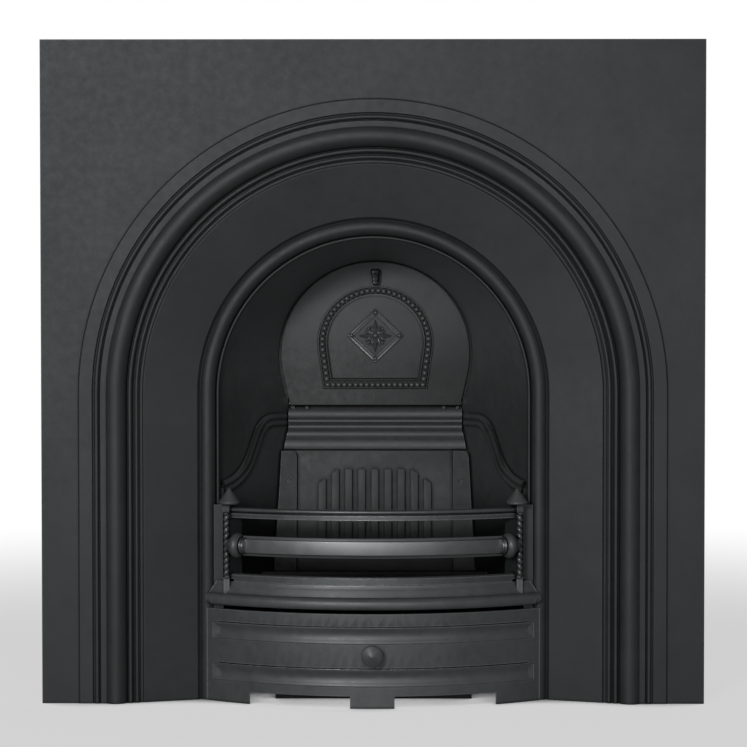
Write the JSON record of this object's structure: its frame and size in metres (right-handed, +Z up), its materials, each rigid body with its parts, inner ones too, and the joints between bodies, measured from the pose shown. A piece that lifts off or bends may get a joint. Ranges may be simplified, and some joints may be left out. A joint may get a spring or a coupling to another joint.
{
  "type": "cast iron arched fireplace insert",
  "caption": "Square cast iron fireplace insert with a moulded arch, hinged damper with a beaded arch, ribbed fireback, bow-fronted bars on rope columns and a loose ash cover.",
  "frame": {"origin": "on the hearth, at mid-width, in the plane of the plate's front face", "axes": "+X to the viewer's right, +Y into the chimney, +Z up"},
  "size_m": [0.965, 0.3125, 0.965],
  "materials": {
    "blacked_iron": "matte",
    "bright_iron": "satin",
    "zinc_steel": "satin",
    "rope": "matte",
    "pan_sheet": "matte"
  },
  "bodies": {
    "casting": {"front_plate": "blacked_iron", "hood": "blacked_iron", "left_cheek": "blacked_iron", "right_cheek": "blacked_iron", "throat_lintel": "blacked_iron", "damper_hinge_pins": "zinc_steel", "fireback": "blacked_iron", "left_back_strip": "blacked_iron", "right_back_strip": "blacked_iron", "strip_screws": "blacked_iron", "strip_nuts": "zinc_steel", "rear_ledge": "blacked_iron", "ledge_bolts": "zinc_steel", "sill": "blacked_iron", "sill_bolts": "zinc_steel", "bar_pegs": "zinc_steel", "hood_bolts": "zinc_steel", "cheek_bolts": "zinc_steel", "lintel_bolts": "zinc_steel", "hood_rope_seal": "rope"},
    "damper": {"damper_door": "blacked_iron", "damper_hook": "blacked_iron"},
    "bars": {"left_bar_post": "blacked_iron", "right_bar_post": "blacked_iron", "left_rope_column": "blacked_iron", "right_rope_column": "blacked_iron", "left_finial": "blacked_iron", "right_finial": "blacked_iron", "top_rail": "blacked_iron", "mid_rail": "bright_iron", "bottom_rail": "blacked_iron"},
    "grate": {"bottom_grate": "blacked_iron"},
    "cover": {"ash_cover": "blacked_iron", "ash_cover_knob": "blacked_iron", "knob_nut": "zinc_steel"},
    "pan": {"ash_pan": "pan_sheet"}
  },
  "joints": [
    {"name": "damper_swing", "type": "hinge", "parent": "casting", "child": "damper", "pos_m": [0, 0.19237, 0.43013], "axis": [1, 0, 0], "range_deg": [0, 30]},
    {"name": "front_bars_lift", "type": "slide", "parent": "casting", "child": "bars", "axis": [0, 0, 1], "range_m": [0, 0.03]},
    {"name": "grate_lift", "type": "slide", "parent": "casting", "child": "grate", "axis": [0, 0, 1], "range_m": [0, 0.05]},
    {"name": "ash_cover_slide", "type": "slide", "parent": "casting", "child": "cover", "axis": [0, -1, 0], "range_m": [0, 0.25]},
    {"name": "ash_pan_slide", "type": "slide", "parent": "casting", "child": "pan", "axis": [0, -1, 0], "range_m": [0, 0.2]}
  ],
  "couplings": [
    {"joint": "ash_pan_slide", "follows": "ash_cover_slide", "ratio": 0.8}
  ]
}
